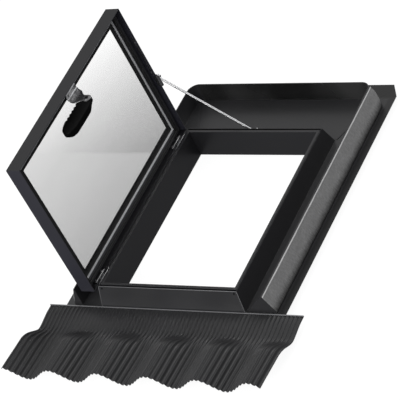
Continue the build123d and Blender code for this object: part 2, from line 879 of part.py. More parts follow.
def build():
    frame = {}
    frame.update(curb())
    frame.update(corner_plates())
    frame["packing_strip_left"] = packing_strip(-1)
    frame["packing_strip_right"] = packing_strip(1)
    frame.update(flashing())
    seam_left, seam_right = seams()
    frame["tray_seam_left"] = seam_left
    frame["tray_seam_right"] = seam_right
    frame["foam_wedge_left"] = foam_wedge(-1)
    frame["foam_wedge_right"] = foam_wedge(1)
    frame["apron"] = apron()
    frame["apron_clamp"] = apron_clamp()
    frame["frame_screws"] = frame_screws()
    lid = {}
    lid.update(lid_frame())
    lid.update(glazing())
    for name, y in (("lower", -hinge_y), ("upper", hinge_y)):
        frame_leaf, lid_leaf, pin = hinge(y)
        frame["hinge_frame_leaf_" + name] = frame_leaf
        frame["hinge_pin_" + name] = pin
        lid["hinge_lid_leaf_" + name] = lid_leaf
    lid["stay_bracket"] = stay_bracket()
    lid["stay_strap"] = stay_strap()
    lid["stay_pin"] = stay_pin()
    lid["handle_bracket"] = handle_bracket()
    lid["handle_grip"] = handle_grip()
    lid["handle_pin"] = handle_pin()
    nodes = dict(frame)
    for name, shape in lid.items():
        nodes[name] = open_lid(shape)
    nodes["lid_screws"] = Compound(children=[open_lid(s) for s in lid_screws()])
    rod, low = stay_rod()
    nodes["stay_rod"] = rod
    nodes["stay_seat"] = stay_seat(low)
    return nodes


if __name__ == "__main__":
    os.makedirs("parts", exist_ok=True)
    for node, shape in build().items():
        export_step(shape, os.path.join("parts", node + ".step"))
        print(node)
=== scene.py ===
import json
import math

import bpy
from mathutils import Matrix, Vector, noise


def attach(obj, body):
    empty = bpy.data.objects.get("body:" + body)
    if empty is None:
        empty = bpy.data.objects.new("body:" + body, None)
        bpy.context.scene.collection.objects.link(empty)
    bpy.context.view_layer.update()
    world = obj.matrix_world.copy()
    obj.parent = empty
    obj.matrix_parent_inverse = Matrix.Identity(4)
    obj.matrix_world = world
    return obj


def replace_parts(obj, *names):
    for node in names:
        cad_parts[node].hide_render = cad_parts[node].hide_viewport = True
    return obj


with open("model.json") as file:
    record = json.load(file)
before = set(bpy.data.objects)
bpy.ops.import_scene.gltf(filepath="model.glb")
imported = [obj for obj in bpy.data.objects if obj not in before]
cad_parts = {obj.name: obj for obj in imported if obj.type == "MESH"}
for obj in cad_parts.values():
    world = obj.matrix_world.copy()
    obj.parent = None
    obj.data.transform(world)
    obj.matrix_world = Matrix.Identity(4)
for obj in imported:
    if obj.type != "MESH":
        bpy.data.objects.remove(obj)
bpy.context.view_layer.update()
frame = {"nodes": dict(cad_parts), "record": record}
nodes = frame["nodes"]
print("frame loaded:", len(nodes), "nodes")


# Shader maths

class Wire:
    # a socket of a finish, so that maths on it reads as a plain expression
    def __init__(self, finish, socket):
        self.finish = finish
        self.socket = socket

    def maths(self, operation, first, second):
        node = self.finish.add("ShaderNodeMath", {"operation": operation}, {0: first, 1: second})
        return node.out(0)

    def __add__(self, other):
        return self.maths("ADD", self, other)

    def __radd__(self, other):
        return self.maths("ADD", other, self)

    def __sub__(self, other):
        return self.maths("SUBTRACT", self, other)

    def __rsub__(self, other):
        return self.maths("SUBTRACT", other, self)

    def __mul__(self, other):
        return self.maths("MULTIPLY", self, other)

    def __rmul__(self, other):
        return self.maths("MULTIPLY", other, self)


class Node:
    # a node that has been added, with its outputs by name or number
    def __init__(self, finish, node):
        self.finish = finish
        self.node = node

    def out(self, key):
        return Wire(self.finish, self.node.outputs[key])


class Finish:
    # the nodes of one material, or of the sky
    def __init__(self, owner, coordinate="Object"):
        self.owner = owner
        owner.use_nodes = True
        self.tree = owner.node_tree
        self.tree.nodes.clear()
        self.place = self.add("ShaderNodeTexCoord").out(coordinate)

    def add(self, kind, settings=None, sockets=None):
        node = self.tree.nodes.new(kind)
        for key, value in (settings or {}).items():
            if key == "stops":
                self.setStops(node.color_ramp, value)
            else:
                setattr(node, key, value)
        for key, value in (sockets or {}).items():
            if isinstance(value, Wire):
                self.tree.links.new(value.socket, node.inputs[key])
            else:
                node.inputs[key].default_value = value
        return Node(self, node)

    def setStops(self, ramp, stops):
        while len(ramp.elements) < len(stops):
            ramp.elements.new(0.5)
        for element, (position, colour) in zip(ramp.elements, stops):
            element.position = position
            element.color = (*colour, 1)

    def axes(self, vector=None):
        return self.add("ShaderNodeSeparateXYZ", {}, {0: vector or self.place})

    def between(self, value, low, high, soft=False):
        # 0 below low, 1 above high
        settings = {"clamp": True}
        if soft:
            settings["interpolation_type"] = "SMOOTHSTEP"
        return self.add("ShaderNodeMapRange", settings, {"Value": value, 1: low, 2: high}).out(0)

    def stretched(self, scale, turn=(0, 0, 0)):
        sockets = {"Vector": self.place, "Scale": scale, "Rotation": turn}
        return self.add("ShaderNodeMapping", {}, sockets).out(0)

    def grain(self, scale, detail=3.0, vector=None, roughness=0.5):
        return self.add("ShaderNodeTexNoise", {}, {
            "Vector": vector or self.place, "Scale": scale,
            "Detail": detail, "Roughness": roughness,
        }).out(0)

    def blendColours(self, factor, first, second):
        first, second = (
            colour if isinstance(colour, Wire) else (*colour, 1) for colour in (first, second))
        mix = self.add("ShaderNodeMix", {"data_type": "RGBA"}, {0: factor, 6: first, 7: second})
        return mix.out(2)

    def bump(self, height, strength, distance, edge=0.0):
        sockets = {"Height": height, "Strength": strength, "Distance": distance}
        if edge:
            bevel = self.add("ShaderNodeBevel", {"samples": 4}, {"Radius": edge})
            sockets["Normal"] = bevel.out(0)
        return self.add("ShaderNodeBump", {}, sockets).out(0)

    def close(self, sockets):
        shader = self.add("ShaderNodeBsdfPrincipled", {}, sockets)
        self.add("ShaderNodeOutputMaterial", {}, {"Surface": shader.out(0)})
        return self.owner


def startFinish(name):
    return Finish(bpy.data.materials.new(name))


# Finishes

def shade(value):
    # a grey step of the screen as linear light
    value = value / 255
    return value / 12.92 if value <= 0.04045 else ((value + 0.055) / 1.055) ** 2.4


def grey(value, blue=0):
    return (shade(value), shade(value), shade(value + blue))


def coatFinish(name, look):
    finish = startFinish(name)
    cloud = finish.grain(look["cloudScale"], 4.0)
    peel = finish.grain(look["peelScale"], 2.0)
    colour = finish.blendColours(cloud, look["deep"], look["pale"])
    rough = look["rough"] + look["roughDrift"] * (cloud - 0.5)
    # faces turned along an axis get painted light and painted shade
    if "faces" in look:
        colour = paintFacingLight(finish, look["faces"], colour)
    # the flashing's tray gets painted shade and painted reflections
    if "tray" in look:
        colour, rough = paintTrayShade(finish, look["tray"], colour, rough)
    return finish.close({
        "Base Color": colour,
        "Roughness": rough,
        "Specular IOR Level": look["gloss"],
        "Normal": finish.bump(peel, look["peel"], 0.0002, look["edge"]),
    })


def paintFacingLight(finish, faces, colour):
    # the faces that look along an axis get a tone of their own: painted light where the tone is
    # paler, painted shade where it is darker
    facing = finish.axes(finish.add("ShaderNodeTexCoord").out("Normal"))
    for axis, tone in faces.items():
        turned = finish.between(facing.out(axis), 0.7, 0.95)
        colour = finish.blendColours(turned, colour, tone)
    return colour


def paintTrayShade(finish, tray, colour, rough):
    # the rear wall is smoother and gets painted shade with soft bands of painted reflection; the
    # flange outside the curb gets painted shade, and what lies past the rear wall is painted near
    # black as shade
    place = finish.axes()
    behind = place.out("Y")
    past = finish.between(behind, *tray["rearFrom"])
    wall = finish.between(behind, *tray["wallFrom"]) - past
    reflectionBands = finish.grain(tray["bandScale"], 1.0, finish.stretched(tray["bandAlong"]))
    reflectionBands = finish.between(reflectionBands, *tray["bandReach"])
    reflectionBands = finish.blendColours(reflectionBands, tray["wall"], tray["wallPale"])
    colour = finish.blendColours(wall, colour, reflectionBands)
    outside = finish.between(place.out("X"), *tray["flangeFrom"])
    colour = finish.blendColours(outside, colour, tray["flange"])
    colour = finish.blendColours(past, colour, tray["rear"])
    return colour, rough - tray["smoother"] * wall


def metalFinish(name, look):
    finish = startFinish(name)
    brushed = finish.grain(look["lineScale"], 5.0, finish.stretched(look["along"]))
    patch = finish.grain(look["patchScale"], 3.0)
    return finish.close({
        "Base Color": finish.blendColours(patch, look["deep"], look["pale"]),
        "Metallic": look["metal"],
        "Roughness": look["rough"] + look["roughDrift"] * (brushed - 0.5),
        "Normal": finish.bump(brushed, look["lines"], 0.0001, look["edge"]),
    })


def rubberFinish(name, look):
    finish = startFinish(name)
    pores = finish.grain(look["poreScale"], 6.0)
    smear = finish.grain(look["smearScale"], 3.0)
    return finish.close({
        "Base Color": finish.blendColours(smear, look["deep"], look["pale"]),
        "Roughness": look["rough"] + 0.2 * (smear - 0.5),
        "Specular IOR Level": look["gloss"],
        "Normal": finish.bump(pores, look["pores"], 0.0003, look["edge"]),
    })


def foamFinish(name, look):
    # streaky open foam, with painted shade at its foot and a painted highlight along its ridge
    finish = startFinish(name)
    cells = finish.grain(look["cellScale"], 8.0, roughness=0.7)
    streaked = finish.stretched(look["strokeAlong"], look["strokeTurn"])
    strokes = finish.grain(look["strokeScale"], 4.0, streaked)
    tone = 0.45 * cells + 0.55 * strokes
    height = finish.axes().out("Z")
    # painted shade towards the foot, painted highlight along the ridge
    lit = finish.between(height + 0.010 * (strokes - 0.5), *look["foot"], soft=True)
    ridgeHighlightMask = finish.between(height + 0.002 * (cells - 0.5), *look["ridge"])
    colour = finish.blendColours(tone, look["deep"], look["pale"])
    colour = finish.blendColours(lit, look["footTone"], colour)
    colour = finish.blendColours(ridgeHighlightMask, colour, look["ridgeTone"])
    return finish.close({
        "Base Color": colour,
        "Roughness": 0.95,
        "Specular IOR Level": 0.2,
        "Normal": finish.bump(tone, look["strength"], look["depth"]),
    })


def apronFinish(name, look):
    finish = startFinish(name)
    crinkle = finish.grain(look["crinkleScale"], 5.0, finish.stretched(look["along"]))
    cloud = finish.grain(look["cloudScale"], 3.0)
    return finish.close({
        "Base Color": finish.blendColours(cloud, look["deep"], look["pale"]),
        "Roughness": look["rough"] + 0.2 * (crinkle - 0.5),
        "Normal": finish.bump(crinkle, look["crinkle"], 0.0004),
    })


def woodFinish(name, look):
    finish = startFinish(name)
    rings = finish.grain(look["ringScale"], 4.0, finish.stretched(look["along"]))
    return finish.close({
        "Base Color": finish.blendColours(rings, look["deep"], look["pale"]),
        "Roughness": 0.75 + 0.15 * (rings - 0.5),
        "Normal": finish.bump(rings, 0.4, 0.0003),
    })


def glassFinish(name, look):
    # a grey veil of painted reflection and painted shade that thickens towards the lower rear, in
    # two fields that meet at a faint line
    finish = startFinish(name)
    place = finish.axes()
    height, along = place.out("Z"), place.out("Y")
    upper, lower = (
        start + perAlong * along + perHeight * height
        for start, perAlong, perHeight in (look["upper"], look["lower"]))
    down = look["lineAt"] - height - look["lineTilt"] * along
    below = finish.between(down, *look["lineReach"], soft=True)
    streaked = finish.stretched(look["streakAlong"], look["streakTurn"])
    streaks = finish.grain(look["streakScale"], 2.0, streaked)
    paintedVeil = upper + below * (lower - upper) + look["streaks"] * (streaks - 0.5)
    clearest, thickest = look["clearest"], look["thickest"]
    paintedVeil = clearest + (thickest - clearest) * finish.between(paintedVeil, clearest, thickest)
    return finish.close({
        "Base Color": (*look["tint"], 1),
        "Roughness": 0.02 + 0.03 * streaks,
        "IOR": 1.45,
        "Alpha": paintedVeil,
    })


looks = {
    "curb_coat": (coatFinish, {
        "deep": grey(28, 1), "pale": grey(34, 3), "cloudScale": 6,
        "peelScale": 700, "peel": 0.05, "edge": 0.0008,
        "rough": 0.36, "roughDrift": 0.12, "gloss": 0.5}),
    "flashing_coat": (coatFinish, {
        "deep": grey(40, 1), "pale": grey(46, 2), "cloudScale": 5,
        "peelScale": 900, "peel": 0.04, "edge": 0.0016,
        "rough": 0.34, "roughDrift": 0.12, "gloss": 0.5,
        # painted shade with painted reflection bands on the rear wall, painted shade on the flange
        # and past the rear wall
        "tray": {
            "wallFrom": (0.4875, 0.4905), "wall": grey(24), "wallPale": grey(54), "smoother": 0.26,
            "bandScale": 7, "bandAlong": (1, 0.05, 0.3), "bandReach": (0.38, 0.66),
            "flangeFrom": (0.3275, 0.3345), "flange": grey(18, 1),
            "rearFrom": (0.4935, 0.4955), "rear": grey(4)}}),
    "lid_coat": (coatFinish, {
        "deep": grey(35, 7), "pale": grey(44, 8), "cloudScale": 7,
        "peelScale": 800, "peel": 0.06, "edge": 0.0009,
        "rough": 0.42, "roughDrift": 0.1, "gloss": 0.5,
        "faces": {"X": grey(66, 4), "Z": grey(17, 3)}}),  # painted light on the inside faces, painted shade on the free edge
    "apron_coat": (apronFinish, {
        "deep": grey(28, 1), "pale": grey(37, 2), "cloudScale": 9,
        "crinkleScale": 60, "along": (3, 0.5, 3), "crinkle": 0.5, "rough": 0.42}),
    "foam": (foamFinish, {
        "deep": grey(84), "pale": grey(160), "cellScale": 500,
        # painted shade at the foot and a painted highlight on the ridge
        "foot": (0.026, 0.052), "footTone": grey(52),
        "ridge": (0.0812, 0.0832), "ridgeTone": grey(190),
        "strokeScale": 90, "strokeAlong": (1, 3.5, 1), "strokeTurn": (0, 0, 0.5),
        "strength": 0.9, "depth": 0.0012}),
    "black_rubber": (rubberFinish, {
        "deep": grey(14), "pale": grey(22), "smearScale": 14,
        "poreScale": 900, "pores": 0.3, "edge": 0.0004, "rough": 0.6, "gloss": 0.4}),
    "grip_rubber": (rubberFinish, {
        "deep": grey(2), "pale": grey(6), "smearScale": 20,
        "poreScale": 1400, "pores": 0.25, "edge": 0.0006, "rough": 0.5, "gloss": 0.08}),
    "trim_metal": (metalFinish, {
        "metal": 0.35, "deep": (0.7, 0.71, 0.73), "pale": (0.88, 0.89, 0.9), "patchScale": 20,
        "lineScale": 60, "along": (1, 1, 1), "lines": 0.05, "edge": 0.0004,
        "rough": 0.3, "roughDrift": 0.15}),
    "hem_metal": (metalFinish, {
        "metal": 0.3, "deep": (0.16, 0.16, 0.165), "pale": (0.24, 0.24, 0.25), "patchScale": 30,
        "lineScale": 80, "along": (1, 1, 1), "lines": 0.05, "edge": 0.0004,
        "rough": 0.4, "roughDrift": 0.15}),
    "hinge_steel": (metalFinish, {
        "metal": 1.0, "deep": (0.16, 0.16, 0.165), "pale": (0.3, 0.3, 0.31), "patchScale": 60,
        "lineScale": 200, "along": (1, 0.2, 1), "lines": 0.1, "edge": 0.0005,
        "rough": 0.32, "roughDrift": 0.2}),
    "stay_steel": (metalFinish, {
        "metal": 1.0, "deep": (0.36, 0.36, 0.365), "pale": (0.62, 0.62, 0.63), "patchScale": 50,
        "lineScale": 150, "along": (0.2, 1, 0.2), "lines": 0.08, "edge": 0.0005,
        "rough": 0.28, "roughDrift": 0.15}),
    "handle_steel": (metalFinish, {
        "metal": 1.0, "deep": (0.13, 0.13, 0.132), "pale": (0.56, 0.56, 0.565), "patchScale": 110,
        "lineScale": 180, "along": (1, 0.3, 1), "lines": 0.12, "edge": 0.0006,
        "rough": 0.3, "roughDrift": 0.2}),
    "dark_steel": (metalFinish, {
        "metal": 1.0, "deep": (0.01, 0.01, 0.011), "pale": (0.03, 0.03, 0.032), "patchScale": 80,
        "lineScale": 300, "along": (1, 1, 1), "lines": 0.1, "edge": 0.0004,
        "rough": 0.4, "roughDrift": 0.1}),
    "plain_steel": (metalFinish, {
        "metal": 1.0, "deep": (0.3, 0.3, 0.31), "pale": (0.45, 0.45, 0.46), "patchScale": 90,
        "lineScale": 260, "along": (1, 1, 1), "lines": 0.1, "edge": 0.0004,
        "rough": 0.38, "roughDrift": 0.15}),
    "packing_wood": (woodFinish, {
        "deep": (0.36, 0.24, 0.13), "pale": (0.62, 0.47, 0.29),
        "ringScale": 40, "along": (6, 0.4, 6)}),
    "glass": (glassFinish, {
        "tint": (0.02, 0.021, 0.023), "clearest": 0.01, "thickest": 0.3,
        "upper": (0.336, -0.175, -0.56), "lower": (0.22, -0.042, -0.252),
        "lineAt": 0.291, "lineTilt": 0.99, "lineReach": (-0.012, 0.004),
        "streakScale": 5.0, "streakAlong": (1, 0.3, 2.4), "streakTurn": (0.75, 0, 0),
        "streaks": 0.02}),
}
finishes = {slot: make(slot, look) for slot, (make, look) in looks.items()}
slotOf = {entry["node"]: entry["material_slot"] for entry in frame["record"]["subparts"]}
for name, node in nodes.items():
    for place in node.material_slots:
        place.material = finishes[slotOf[name]]
print("finishes given:", len(finishes))


# Meshes

def makePiece(name, points, faces, body, slot, smooth=True):
    mesh = bpy.data.meshes.new(name)
    mesh.from_pydata([tuple(p) for p in points], [], faces)
    mesh.validate()
    mesh.polygons.foreach_set("use_smooth", [smooth] * len(mesh.polygons))
    mesh.materials.append(finishes[slot])
    piece = bpy.data.objects.new(name, mesh)
    bpy.context.scene.collection.objects.link(piece)
    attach(piece, body)
    return piece


def tubeFaces(rows, around, first=0):
    # rings of points, joined row by row and closed at both ends
    faces = []
    for i in range(rows - 1):
        for k in range(around):
            a = first + i * around + k
            b = first + i * around + (k + 1) % around
            faces.append((a, b, b + around, a + around))
    last = first + (rows - 1) * around
    faces.append(tuple(range(first, first + around))[::-1])
    faces.append(tuple(range(last, last + around)))
    return faces


def ease(low, high, value):
    share = min(1.0, max(0.0, (value - low) / (high - low)))
    return share * share * (3 - 2 * share)


def tableAt(table, x):
    # straight between the rows of a table, held at its ends
    if x <= table[0][0]:
        return table[0][1]
    for (x0, y0), (x1, y1) in zip(table, table[1:]):
        if x <= x1:
            return y0 + (y1 - y0) * (x - x0) / (x1 - x0)
    return table[-1][1]


def smoothAt(table, x, reach):
    return sum(tableAt(table, x + reach * (k - 2) / 2) for k in range(5)) / 5


# Pleated apron: from the clamp it runs level, dips, steps up and then follows the tiles

apronSpec = {
    "left": -0.404, "right": 0.411, "top": -0.326, "front": -0.597, "thick": 0.0016,
    "rest": 0.0278, "dip": 0.0055, "dipFrom": (0.02, 0.08), "dipTo": (0.080, 0.13),
    "step": 0.0175, "stepReach": (0.078, 0.156), "rise": 0.025, "riseFrom": 0.146,
    "tile": 0.157, "crestAt": 0.064, "wave": 0.0195,
    "pleat": 0.0131, "pleatTop": 0.0006, "pleatSide": 0.0036, "pleatFront": 0.0050,
    "sideReach": (0.35, 0.95), "frontReach": (0.06, 0.13), "sharpness": 0.25,
    "drift": 0.0016, "driftScale": (9, 6), "crumple": 0.0008, "crumpleScale": (22, 16),
    "stepsAcross": 812, "stepsDown": 56,
}


def noiseAt(x, back, scale, seed):
    return noise.noise(Vector((x * scale[0], back * scale[1], seed)))


def apronPoint(x, back):
    spec = apronSpec
    depth = spec["top"] - spec["front"]
    middle, half = (spec["left"] + spec["right"]) / 2, (spec["right"] - spec["left"]) / 2
    lift = ease(*spec["stepReach"], back)
    height = spec["rest"]
    height -= spec["dip"] * ease(*spec["dipFrom"], back) * (1 - ease(*spec["dipTo"], back))
    onward = max(0.0, (back - spec["riseFrom"]) / (depth - spec["riseFrom"]))
    height += lift * (spec["step"] + (spec["rise"] - spec["step"]) * onward)
    height += lift * spec["wave"] * math.cos(2 * math.pi * (x - spec["crestAt"]) / spec["tile"])
    # the pleats grow towards the sides and the front edge
    pleat = spec["pleatTop"]
    pleat += (spec["pleatSide"] - pleat) * ease(*spec["sideReach"], abs(x - middle) / half)
    pleat += (spec["pleatFront"] - pleat) * ease(*spec["frontReach"], back)
    drift = noiseAt(x, back, spec["driftScale"], 3.1) * spec["drift"]
    phase = 2 * math.pi * (x + drift - spec["left"]) / spec["pleat"]
    height -= pleat / 2 * (math.cos(phase) - spec["sharpness"] * math.cos(2 * phase))
    height += noiseAt(x, back, spec["crumpleScale"], 0.4) * spec["crumple"] * lift
    return Vector((x, spec["top"] - back, height))


def buildApron():
    spec = apronSpec
    across, down = spec["stepsAcross"], spec["stepsDown"]
    depth = spec["top"] - spec["front"]
    points = []
    for layer in (0.5, -0.5):
        for j in range(down + 1):
            back = depth * j / down
            for i in range(across + 1):
                x = spec["left"] + (spec["right"] - spec["left"]) * i / across
                points.append(apronPoint(x, back) + Vector((0, 0, spec["thick"] * layer)))
    row = across + 1
    sheet = row * (down + 1)
    faces = []
    for j in range(down):
        for i in range(across):
            a = j * row + i
            faces.append((a, a + row, a + row + 1, a + 1))
            b = a + sheet
            faces.append((b, b + 1, b + row + 1, b + row))
    for i in range(across):
        a, b = i, down * row + i
        faces.append((a, a + 1, a + 1 + sheet, a + sheet))
        faces.append((b + 1, b, b + sheet, b + 1 + sheet))
    for j in range(down):
        a, b = j * row, j * row + across
        faces.append((a + row, a, a + sheet, a + row + sheet))
        faces.append((b, b + row, b + row + sheet, b + sheet))
    apron = makePiece("apronSheet", points, faces, "frame", "apron_coat")
    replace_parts(apron, "apron")


buildApron()
print("apron built")


# Foam strips: a bulging wedge against each gutter wall, rounded off at the rear

foamSpec = {
    "inside": 0.3018, "base": 0.026, "top": 0.004, "low": 0.025, "high": 0.084, "ridge": 0.004,
    "front": -0.317, "back": 0.478, "roundEnd": 0.036, "softFoot": 0.0025, "bulge": 1.22,
    "coarse": 0.0011, "fine": 0.0006, "roughScale": (45, 28), "finer": 7,
    "along": 420, "upSlope": 34, "overRidge": 6,
}


def foamOutline(limit):
    # offsets from the gutter wall and heights, from the inner foot round to the inner top
    spec = foamSpec
    outline = [(0, spec["low"]), (min(spec["base"] * 0.5, limit), spec["low"])]
    rise = spec["high"] - spec["ridge"] - spec["low"]
    for k in range(spec["upSlope"] + 1):
        share = k / spec["upSlope"]
        offset = spec["base"] + (spec["top"] - spec["base"]) * share ** spec["bulge"]
        offset -= spec["softFoot"] * (1 - ease(0, 0.12, share))
        outline.append((min(offset, limit), spec["low"] + rise * share))
    for k in range(1, spec["overRidge"] + 1):
        turn = math.pi / 2 * k / spec["overRidge"]
        offset = min(spec["top"] * (0.35 + 0.65 * math.cos(turn)), limit)
        outline.append((offset, spec["high"] - spec["ridge"] * (1 - math.sin(turn))))
    outline.append((0, spec["high"]))
    return outline


def buildFoam(name, node, side):
    spec = foamSpec
    across, down = spec["roughScale"]
    points = []
    for j in range(spec["along"] + 1):
        y = spec["front"] + (spec["back"] - spec["front"]) * j / spec["along"]
        past = min(1.0, max(0.0, (y - spec["back"] + spec["roundEnd"]) / spec["roundEnd"]))
        limit = max(0.0004, spec["base"] * math.sqrt(1 - past * past))
        outline = foamOutline(limit)
        for k, (offset, z) in enumerate(outline):
            spot = Vector((offset * across, y * down, z * across + side * 7))
            rough = noise.noise(spot) * spec["coarse"]
            rough += noise.noise(spot * spec["finer"]) * spec["fine"]
            inner = k == 0 or k == len(outline) - 1
            shift = 0 if inner else rough * min(1.0, offset / 0.002)
            points.append((side * (spec["inside"] + offset + shift), y, z))
    row = len(outline)
    faces = [tuple(range(row)), tuple(range(len(points) - 1, len(points) - row - 1, -1))]
    for j in range(spec["along"]):
        for k in range(row):
            a, b = j * row + k, j * row + (k + 1) % row
            faces.append((a, a + row, b + row, b))
    if side < 0:
        faces = [face[::-1] for face in faces]
    strip = makePiece(name, points, faces, "frame", "foam")
    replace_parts(strip, node)


buildFoam("foamStripRight", "foam_wedge_right", 1)
buildFoam("foamStripLeft", "foam_wedge_left", -1)
print("foam built")


# Places on the open lid, from its own width, length and depth

lidSpec = {"hinge": (-0.2353, 0.0741), "open": 91.0, "left": -0.23225, "face": 0.097}


def lidPoint(u, y, v):
    # u runs from the hinge side, v is the height over the lid's seat when it is closed
    turn = math.radians(lidSpec["open"])
    hingeX, hingeZ = lidSpec["hinge"]
    dx = lidSpec["left"] + u - hingeX
    dz = lidSpec["face"] + v - hingeZ
    return (
        hingeX + dx * math.cos(turn) - dz * math.sin(turn), y,
        hingeZ + dx * math.sin(turn) + dz * math.cos(turn),
    )


# Cap in the rear lower corner of the lid's frame, in near-white metal as a painted glint at the
# mitre

plugSpec = {
    "u": 0.0237, "y": 0.2927, "v": 0.0022, "radius": 0.0026, "tall": 0.0016,
    "rings": 6, "around": 20,
}


def buildPlug():
    spec = plugSpec
    points = []
    for ring in range(spec["rings"] + 1):
        lean = math.pi / 2 * ring / spec["rings"]
        out = spec["radius"] * max(0.04, math.cos(lean))
        for k in range(spec["around"]):
            a = 2 * math.pi * k / spec["around"]
            points.append(lidPoint(
                spec["u"] + out * math.cos(a), spec["y"] + out * math.sin(a),
                spec["v"] - spec["tall"] * math.sin(lean),
            ))
    faces = tubeFaces(spec["rings"] + 1, spec["around"])
    makePiece("cornerCapGlint", points, faces, "lid", "trim_metal")


buildPlug()


# Grip with finger notches

gripSpec = {
    "top": 0.4236, "tip": -0.1330, "hub": 0.0120, "tipRound": 0.013, "thinEnds": 0.35,
    "square": 6.0, "notchFrom": -0.086, "notchTo": -0.018, "notchPitch": 0.0134,
    "notchDeep": 0.0034, "notchRise": (0, 0.25), "notchFall": (0.35, 1.0), "notchFade": (0.1, 0.8),
    # the near side, the far side and the width, each from the tip to the hub
    "near": [(-0.133, -0.0400), (-0.118, -0.0345), (-0.110, -0.0310), (-0.100, -0.0285),
             (-0.088, -0.0265), (-0.016, -0.0265), (-0.009, -0.0340), (-0.003, -0.0430),
             (0.012, -0.0450)],
    "far": [(-0.133, -0.068), (-0.118, -0.0720), (-0.110, -0.0745), (-0.085, -0.0755),
            (-0.030, -0.0755), (-0.006, -0.0715), (0.012, -0.0690)],
    "deep": [(-0.131, 0.0215), (-0.110, 0.0245), (-0.030, 0.0245), (-0.003, 0.0125),
             (0.012, 0.0115)],
    "stations": 230, "around": 56,
}


def gripEnds(y):
    # the share of its full section that the grip has near its two round ends
    spec = gripSpec
    ends = 1.0
    if y < spec["tip"] + spec["tipRound"]:
        ends = math.sqrt(max(0.0, 1 - (1 - (y - spec["tip"]) / spec["tipRound"]) ** 2))
    if y > 0:
        ends = math.sqrt(max(0.0, 1 - (y / spec["hub"]) ** 2))
    return max(ends, 0.02)


def gripNotch(y):
    spec = gripSpec
    if not spec["notchFrom"] < y < spec["notchTo"]:
        return 0.0
    saw = ((y - spec["notchFrom"]) / spec["notchPitch"]) % 1.0
    return spec["notchDeep"] * ease(*spec["notchRise"], saw) * (1 - ease(*spec["notchFall"], saw))


def buildGrip():
    spec = gripSpec
    power = 2 / spec["square"]
    points = []
    for i in range(spec["stations"] + 1):
        share = (1 - math.cos(math.pi * i / spec["stations"])) / 2
        y = spec["tip"] + (spec["hub"] - spec["tip"]) * share
        near = smoothAt(spec["near"], y, 0.003)
        far = smoothAt(spec["far"], y, 0.004)
        deep = smoothAt(spec["deep"], y, 0.004)
        middle, wide = (near + far) / 2, (near - far) / 2
        ends, notch = gripEnds(y), gripNotch(y)
        tall = deep * (spec["thinEnds"] + (1 - spec["thinEnds"]) * ends) / 2
        for k in range(spec["around"]):
            a = 2 * math.pi * k / spec["around"]
            side, rise = math.cos(a), math.sin(a)
            v = middle + wide * ends * math.copysign(abs(side) ** power, side)
            if side > 0:
                v -= notch * ease(*spec["notchFade"], side)
            u = spec["top"] - deep / 2 + tall * math.copysign(abs(rise) ** power, rise)
            points.append(lidPoint(u, y, v))
    faces = tubeFaces(spec["stations"] + 1, spec["around"])
    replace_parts(makePiece("gripBody", points, faces, "handle", "grip_rubber"), "handle_grip")


# Plate that carries the grip: a cut sheet, bent onto the stile and hemmed, with two screws

plateSpec = {
    "outline": [(0.042, -0.0045), (0.038, -0.009), (0.0335, -0.017), (0.029, -0.0255),
                (0.022, -0.0315), (0.015, -0.0375), (0.0118, -0.044), (0.0118, -0.052),
                (0.0122, -0.058), (0.0090, -0.066), (0.002, -0.0698), (-0.006, -0.0685),
                (-0.0115, -0.063), (-0.0128, -0.056), (-0.011, -0.048), (-0.0118, -0.043),
                (-0.016, -0.0365), (-0.0195, -0.029), (-0.020, -0.020), (-0.0175, -0.011),
                (-0.012, -0.0045)],
    "inside": 0.4240, "outside": 0.4262, "soft": 0.0007, "sheet": 0.0020,
    "eye": (0.0, -0.057), "ringRadius": 0.0078, "ringTall": 0.0007,
    "screws": [(0.4362, 0.001), (0.4362, 0.030)], "screwRadius": 0.0030, "screwTall": 0.0014,
    "bend": 0.0045, "bendSteps": 6, "flangeEnd": 0.4405, "hemEnd": 0.4460, "hemTall": 0.0022,
    "from": -0.012, "to": 0.042, "softEnd": 0.0006,
    "strips": {
        "plateHemHighlight": (0.4412, 0.4455, -0.0105, 0.0395, -0.0030, -0.0048),
        "plateBendHighlight": (0.4262, 0.4305, -0.0115, 0.0400, -0.0016, -0.0034),
    },
}


def plateRing(level, inset):
    # the outline of the sheet at one level, drawn in by the inset
    outline = plateSpec["outline"]
    points = []
    for k, (y, v) in enumerate(outline):
        before, after = outline[k - 1], outline[(k + 1) % len(outline)]
        run = Vector((after[0] - before[0], after[1] - before[1])).normalized()
        points.append(lidPoint(level, y + inset * run.y, v - inset * run.x))
    return points


def discPoints(radius, toPoint):
    # a low round boss: toPoint takes two offsets across it and the share of its height
    points = []
    for high, size in ((0, 1.0), (0.7, 1.0), (1.0, 0.86)):
        for k in range(24):
            a = 2 * math.pi * k / 24
            points.append(toPoint(radius * size * math.cos(a), radius * size * math.sin(a), high))
    return points


def flangeProfile():
    # the bend and the hemmed flange in section, as u and v
    spec = plateSpec
    bend, sheet, hem = spec["bend"], spec["sheet"], spec["hemTall"]
    centre = spec["inside"] + bend
    inner, outer = [], []
    for k in range(spec["bendSteps"] + 1):
        a = math.pi / 2 * k / spec["bendSteps"]
        inner.append((centre - bend * math.cos(a), -bend + bend * math.sin(a)))
        outer.append((centre - (bend - sheet) * math.cos(a), -bend + (bend - sheet) * math.sin(a)))
    under = -hem - sheet * 0.6
    rim = [
        (spec["hemEnd"], 0.0), (spec["hemEnd"] + 0.0004, -hem / 2), (spec["hemEnd"], under),
        (spec["flangeEnd"] + 0.0008, under), (spec["flangeEnd"], -hem), (spec["flangeEnd"], -sheet),
    ]
    return inner + rim + outer[::-1]


